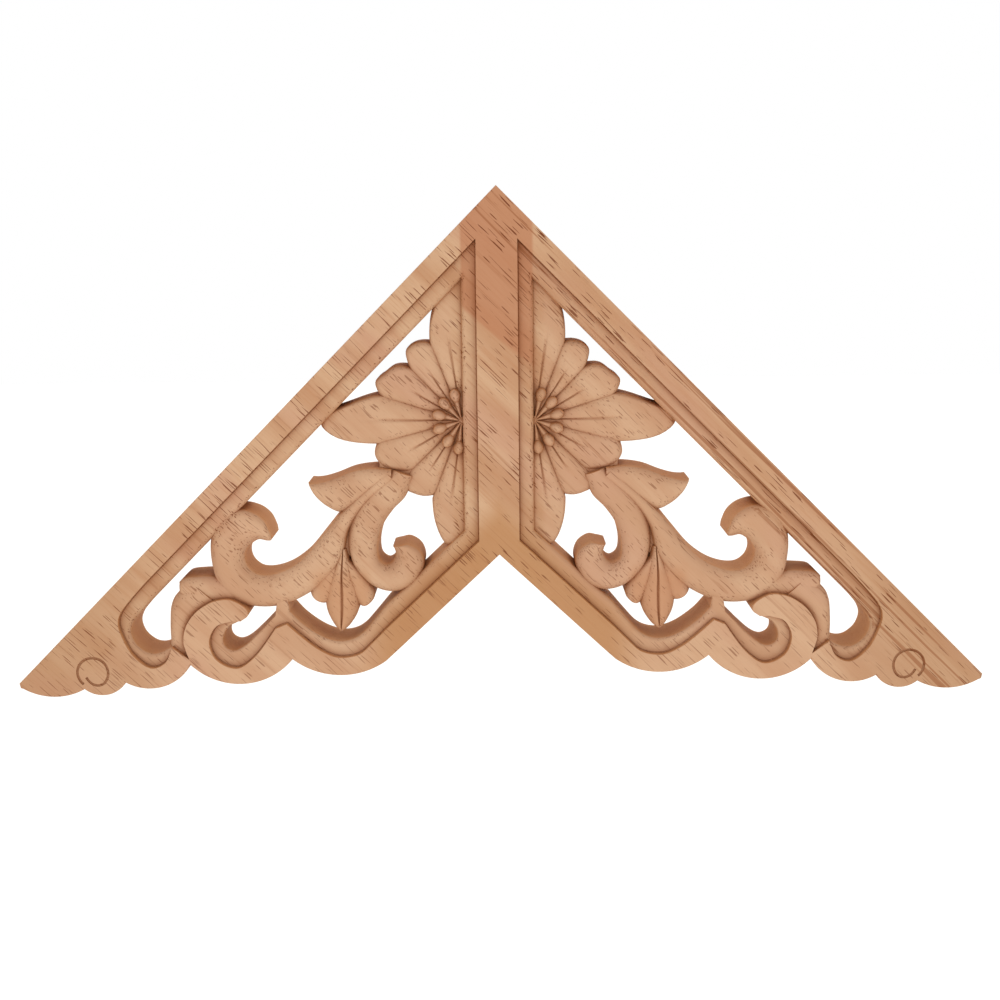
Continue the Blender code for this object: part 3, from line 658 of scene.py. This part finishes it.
class Nodes:
    """Adds nodes to a material: the node's type, its settings, and its inputs by place or name."""

    def __init__(self, material):
        material.use_nodes = True
        self.tree = material.node_tree

    def add(self, kind, settings, inputs, output=0):
        """A new node with its settings and inputs. One of its outputs comes back as a Value."""
        node = self.tree.nodes.new(kind)
        for name, value in settings.items():
            setattr(node, name, value)
        pairs = inputs.items() if isinstance(inputs, dict) else enumerate(inputs)
        for key, value in pairs:
            self.set(node.inputs[key], value)
        return Value(self, node.outputs[output])

    def set(self, socket, value):
        """A Value is linked to the socket, and a plain number or colour is stored in it."""
        if isinstance(value, Value):
            self.tree.links.new(value.socket, socket)
        else:
            socket.default_value = value

    def between(self, value, low, high):
        """0 below low, 1 above high, and a smooth step between."""
        return self.add("ShaderNodeMapRange", {"interpolation_type": "SMOOTHSTEP"},
                        {"Value": value, "From Min": low, "From Max": high})

    def mix(self, share, first, second):
        """The first colour with a share of the second over it."""
        return self.add("ShaderNodeMix", {"data_type": "RGBA"}, {0: share, 6: first, 7: second}, 2)

    def noise(self, place, scale, detail, rough):
        """Noise from about 0 to 1. Scale is how many blotches fit in one unit of the place."""
        return self.add("ShaderNodeTexNoise", {}, {
            "Vector": place, "Scale": scale, "Detail": detail, "Roughness": rough})


def colour(red, green, blue):
    """An sRGB colour, 0 to 255, as the linear light that a shader wants."""
    part = np.array((red, green, blue)) / 255.0
    part = np.where(part <= 0.04045, part / 12.92, ((part + 0.055) / 1.055) ** 2.4)
    return (*part.tolist(), 1.0)


print("a middle brown as linear light:", colour(180, 134, 108))

# %% [markdown]
# ### Grain, fibres and pores
#
# Each pattern is noise on a squeezed copy of the place: dividing the grain direction by a stretch
# draws every blotch out by that much along the grain. Broad bands go from pale to tan, a slow
# blush adds pink, and fine fibres add thin brown lines. The pores are the peaks of a very
# stretched noise, and a second, broad noise decides where they crowd together.

# %% Lay out the grain
GRAIN_TURN = math.radians(-45.0)    # about Y, so that X follows the grain, down to the right
PER_MM = 1000.0
bare_wood = bpy.data.materials.new("bare_wood")
wood = Nodes(bare_wood)
shader = wood.tree.nodes["Principled BSDF"]
here = wood.add("ShaderNodeTexCoord", {}, (), "Object")
turned = wood.add("ShaderNodeMapping", {}, {"Vector": here, "Rotation": (0.0, GRAIN_TURN, 0.0)})


def along_grain(stretch, move=0.0):
    """The place in millimetres, turned to the grain, with the grain direction squeezed."""
    return wood.add("ShaderNodeMapping", {}, {
        "Vector": turned, "Scale": (PER_MM / stretch, PER_MM, PER_MM), "Location": (move,) * 3})


bands = wood.noise(along_grain(9.0), 0.10, 2.0, 0.55)
blush = wood.noise(along_grain(3.0, 7.0), 0.05, 2.0, 0.5)
fibres = wood.noise(along_grain(26.0, 3.0), 1.9, 3.0, 0.6)
pore_field = wood.noise(along_grain(20.0, 5.0), 2.9, 0.0, 0.5)
pore_crowd = wood.noise(along_grain(3.0, 9.0), 0.12, 1.0, 0.5)
pores = wood.between(pore_field + 0.3 * pore_crowd, 0.83, 0.89)
streak_field = wood.noise(along_grain(70.0, 13.0), 0.75, 2.0, 0.6)
print("nodes for the grain:", len(wood.tree.nodes))

# %% Mix the body colour
PALE, TAN, PINK = colour(191, 154, 122), colour(175, 131, 98), colour(180, 134, 108)
FIBRE_BROWN = colour(168, 116, 80)
base_colour = wood.mix(wood.between(bands, 0.35, 0.65), PALE, TAN)
base_colour = wood.mix(wood.between(blush, 0.48, 0.66) * 0.6, base_colour, PINK)
base_colour = wood.mix(wood.between(fibres, 0.45, 0.75) * 0.35, base_colour, FIBRE_BROWN)
print("nodes with the body colour:", len(wood.tree.nodes))

# %% [markdown]
# ### Colours by place, and painted shade at the tips
#
# One board isn't one colour. In the photograph the carved panels are a little paler than the
# frame. The top of the bar is redder, above a slanting glue line. The lower arms are browner, and
# so are the buds. The ends of the legs are darkened with painted shade, for the light that falls
# off towards the tips. The right leg runs along the grain, so its streaks are long and strong.
# Each place is made of smooth steps over the coordinates in millimetres, so that the colours fade
# into each other, and the number that it is multiplied by in the mix says how strong the tint is.

# %% Tint the places
PANEL_PALE, ARM_BROWN, BAR_RED = colour(192, 153, 124), colour(164, 114, 70), colour(168, 112, 80)
# the tip colour is painted shade, for the light that falls off towards the tips
TIP_SHADE_BROWN, BUD_BROWN = colour(160, 118, 84), colour(174, 120, 82)
GLUE_SLOPE = 0.837        # the glue line's rise for each step to the left
right = wood.add("ShaderNodeSeparateXYZ", {}, (here,), "X") * PER_MM
up = wood.add("ShaderNodeSeparateXYZ", {}, (here,), "Z") * PER_MM
outwards = wood.add("ShaderNodeMath", {"operation": "ABSOLUTE"}, (right,))
frame_wood = wood.between(outwards, 14.0, 12.0) + wood.between(outwards + up, 46.0, 50.0)
arms = wood.between(up + ARM_SLOPE * outwards, -18.0, -30.0) * wood.between(outwards, 46.0, 30.0)
bar_top = wood.between(up + GLUE_SLOPE * right, 23.0, 25.0) * wood.between(outwards, 10.5, 9.5)
# painted shade: darker towards the tips, where the light falls off
painted_tip_shade = wood.between(outwards, 85.0, 125.0)
bud_columns = wood.between(outwards, 36.5, 39.5) * wood.between(outwards, 56.0, 52.0)
buds = bud_columns * (wood.between(up, -40.0, -47.0) * wood.between(up, -63.0, -60.0))
base_colour = wood.mix(0.35 - 0.35 * frame_wood, base_colour, PANEL_PALE)
base_colour = wood.mix(arms * 0.7, base_colour, ARM_BROWN)
base_colour = wood.mix(bar_top * 0.7, base_colour, BAR_RED)
# painted shade at the tips, not a colour of the wood
base_colour = wood.mix(painted_tip_shade * 0.45, base_colour, TIP_SHADE_BROWN)
base_colour = wood.mix(buds * 0.5, base_colour, BUD_BROWN)
print("nodes with the tints:", len(wood.tree.nodes))

# %% Draw the streaks and pores
STREAK_BROWN, PORE_BROWN = colour(138, 84, 52), colour(112, 62, 38)
right_leg = wood.between(right + up, 44.0, 50.0)
streaks = wood.between(streak_field + 0.07 * right_leg, 0.61, 0.70)
base_colour = wood.mix(streaks * (0.25 + 0.4 * right_leg), base_colour, STREAK_BROWN)
base_colour = wood.mix(pores * (0.55 + 0.3 * frame_wood), base_colour, PORE_BROWN)
print("nodes with streaks and pores:", len(wood.tree.nodes))

# %% [markdown]
# ### Sawn walls with painted bounce light, and painted shade in the creases
#
# The sawn walls get a deeper, yellower brown than the sanded front: partly the colour of the sawn
# end grain, partly painted warm light that bounces between the wooden faces. The Normal output of
# Texture Coordinate tells the direction that the surface faces: its Y is -1 on the front, near 0
# on a wall and 1 on the back. The creases are darkened with painted shade, where less light
# reaches. The Ambient Occlusion node measures how much of the space around a point is open, so it
# finds them.

# %% Paint bounce light on the walls and shade in the creases
# the wall colour is partly end grain and partly painted bounce light; the crease colour is painted
# shade
WALL_GRAIN_AND_BOUNCE, CREASE_SHADE_BROWN = colour(206, 142, 84), colour(138, 76, 36)
CREASE_REACH = 0.0025     # in metres: how far round a point the space is looked at
normal = wood.add("ShaderNodeTexCoord", {}, (), "Normal")
facing = wood.add("ShaderNodeSeparateXYZ", {}, (normal,), "Y")
walls = wood.between(facing, -0.55, -0.15) * wood.between(facing, 0.9, 0.5)
open_space = wood.add(
    "ShaderNodeAmbientOcclusion", {"samples": 6}, {"Distance": CREASE_REACH}, "AO")
# painted shade: where little space is open round a point, the colour is darkened
painted_crease_shade = wood.between(open_space, 0.95, 0.35)
# partly the sawn end grain's colour, partly painted warm bounce light on the steep walls
base_colour = wood.mix(walls * 0.5, base_colour, WALL_GRAIN_AND_BOUNCE)
# painted shade in the creases
base_colour = wood.mix(painted_crease_shade * 0.6, base_colour, CREASE_SHADE_BROWN)
print("nodes with walls and creases:", len(wood.tree.nodes))

# %% [markdown]
# ### The surface of the wood
#
# Fibres stand up a little and pores are sunk, which a Bump node turns into small changes of the
# normal. Bare wood is rough and hardly mirrors anything.

# %% Finish the wood
RELIEF_STRENGTH, RELIEF_DEPTH = 0.35, 0.0002    # a share, and a depth in metres
SMOOTHEST, ROUGHER, MIRRORING = 0.60, 0.12, 0.06
relief = wood.add("ShaderNodeBump", {}, {
    "Strength": RELIEF_STRENGTH, "Distance": RELIEF_DEPTH, "Height": fibres * 0.5 - pores})
wood.set(shader.inputs["Base Color"], base_colour)
wood.set(shader.inputs["Roughness"], SMOOTHEST + ROUGHER * fibres)
wood.set(shader.inputs["Normal"], relief)
shader.inputs["Specular IOR Level"].default_value = MIRRORING
carving.materials.clear()
carving.materials.append(bare_wood)
print("wood nodes:", len(wood.tree.nodes))

# %% [markdown]
# ## The scene
#
# The photograph shows the piece from the front and slightly above its middle, on white. The
# camera stands 0.4 m in front of the back plane, looks down by 10.9 degrees and leans to one side
# by 0.6 degrees. The light is very soft and comes from the front and a little from below, so
# upward walls are the dark ones. A pale floor lies well below the piece. It fills the lower part
# of the background, glows a little so that it stays white, and sends light up to the piece.

# %% Set up the camera
CAMERA_PLACE = (0.000285, -0.400, 0.0516)       # in metres
LENS, SENSOR, NEAR = 49.19, 36.0, 0.01
LOOK_DOWN, LEAN = math.radians(10.90), math.radians(-0.595)
camera_data = bpy.data.cameras.new("camera")
camera_data.sensor_width = SENSOR
camera_data.lens = LENS
camera_data.clip_start = NEAR
camera = bpy.data.objects.new("camera", camera_data)
bpy.context.scene.collection.objects.link(camera)
camera.location = CAMERA_PLACE
look = Matrix.Rotation(math.pi / 2.0 - LOOK_DOWN, 3, "X") @ Matrix.Rotation(LEAN, 3, "Z")
camera.rotation_euler = look.to_euler()
bpy.context.scene.camera = camera
print("camera: %.1f mm lens, %.2f m in front" % (LENS, -CAMERA_PLACE[1]))

# %% Lay the floor
FLOOR_LEVEL, FLOOR_HALF = -0.2984, 3.0          # in metres
floor_corners = [(x * FLOOR_HALF, y * FLOOR_HALF, FLOOR_LEVEL)
                 for x, y in ((-1, -1), (1, -1), (1, 1), (-1, 1))]
floor_mesh = bpy.data.meshes.new("floor")
floor_mesh.from_pydata(floor_corners, [], [(0, 1, 2, 3)])
floor_piece = bpy.data.objects.new("floor", floor_mesh)
bpy.context.scene.collection.objects.link(floor_piece)
FLOOR_COLOUR, FLOOR_GLOW = (0.9, 0.895, 0.87, 1.0), (1.0, 0.99, 0.95, 1.0)
FLOOR_ROUGHNESS, GLOW_STRENGTH = 0.9, 0.25
floor_material = bpy.data.materials.new("pale_floor")
floor_shader = Nodes(floor_material).tree.nodes["Principled BSDF"]
floor_shader.inputs["Base Color"].default_value = FLOOR_COLOUR
floor_shader.inputs["Roughness"].default_value = FLOOR_ROUGHNESS
floor_shader.inputs["Emission Color"].default_value = FLOOR_GLOW
floor_shader.inputs["Emission Strength"].default_value = GLOW_STRENGTH
floor_mesh.materials.append(floor_material)
print("floor at %.3f m" % FLOOR_LEVEL)

# %% Light the scene
LIGHT_TARGET = Vector((0.0, 0.0, -0.02))
WHITE, ROOM_STRENGTH = (1.0, 1.0, 1.0, 1.0), 1.0


def soft_light(name, place, size, power):
    """A square white area light that faces the middle of the piece."""
    data = bpy.data.lights.new(name, "AREA")
    data.size, data.energy = size, power
    lamp = bpy.data.objects.new(name, data)
    bpy.context.scene.collection.objects.link(lamp)
    lamp.location = place
    lamp.rotation_euler = (LIGHT_TARGET - Vector(place)).to_track_quat("-Z", "Y").to_euler()


soft_light("front_light", (-0.2, -0.85, -0.35), size=0.8, power=4.2)
soft_light("side_light", (0.7, -0.7, 0.35), size=0.6, power=0.8)
world = bpy.data.worlds.new("white_room")
bpy.context.scene.world = world
world.use_nodes = True
background = world.node_tree.nodes["Background"]
background.inputs["Color"].default_value = WHITE
background.inputs["Strength"].default_value = ROOM_STRENGTH
bpy.context.scene.view_settings.view_transform = "Standard"
print("lights:", len(bpy.data.lights))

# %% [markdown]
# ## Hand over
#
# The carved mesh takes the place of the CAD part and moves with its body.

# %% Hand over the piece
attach(applique, "root")
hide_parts("carved_corner")
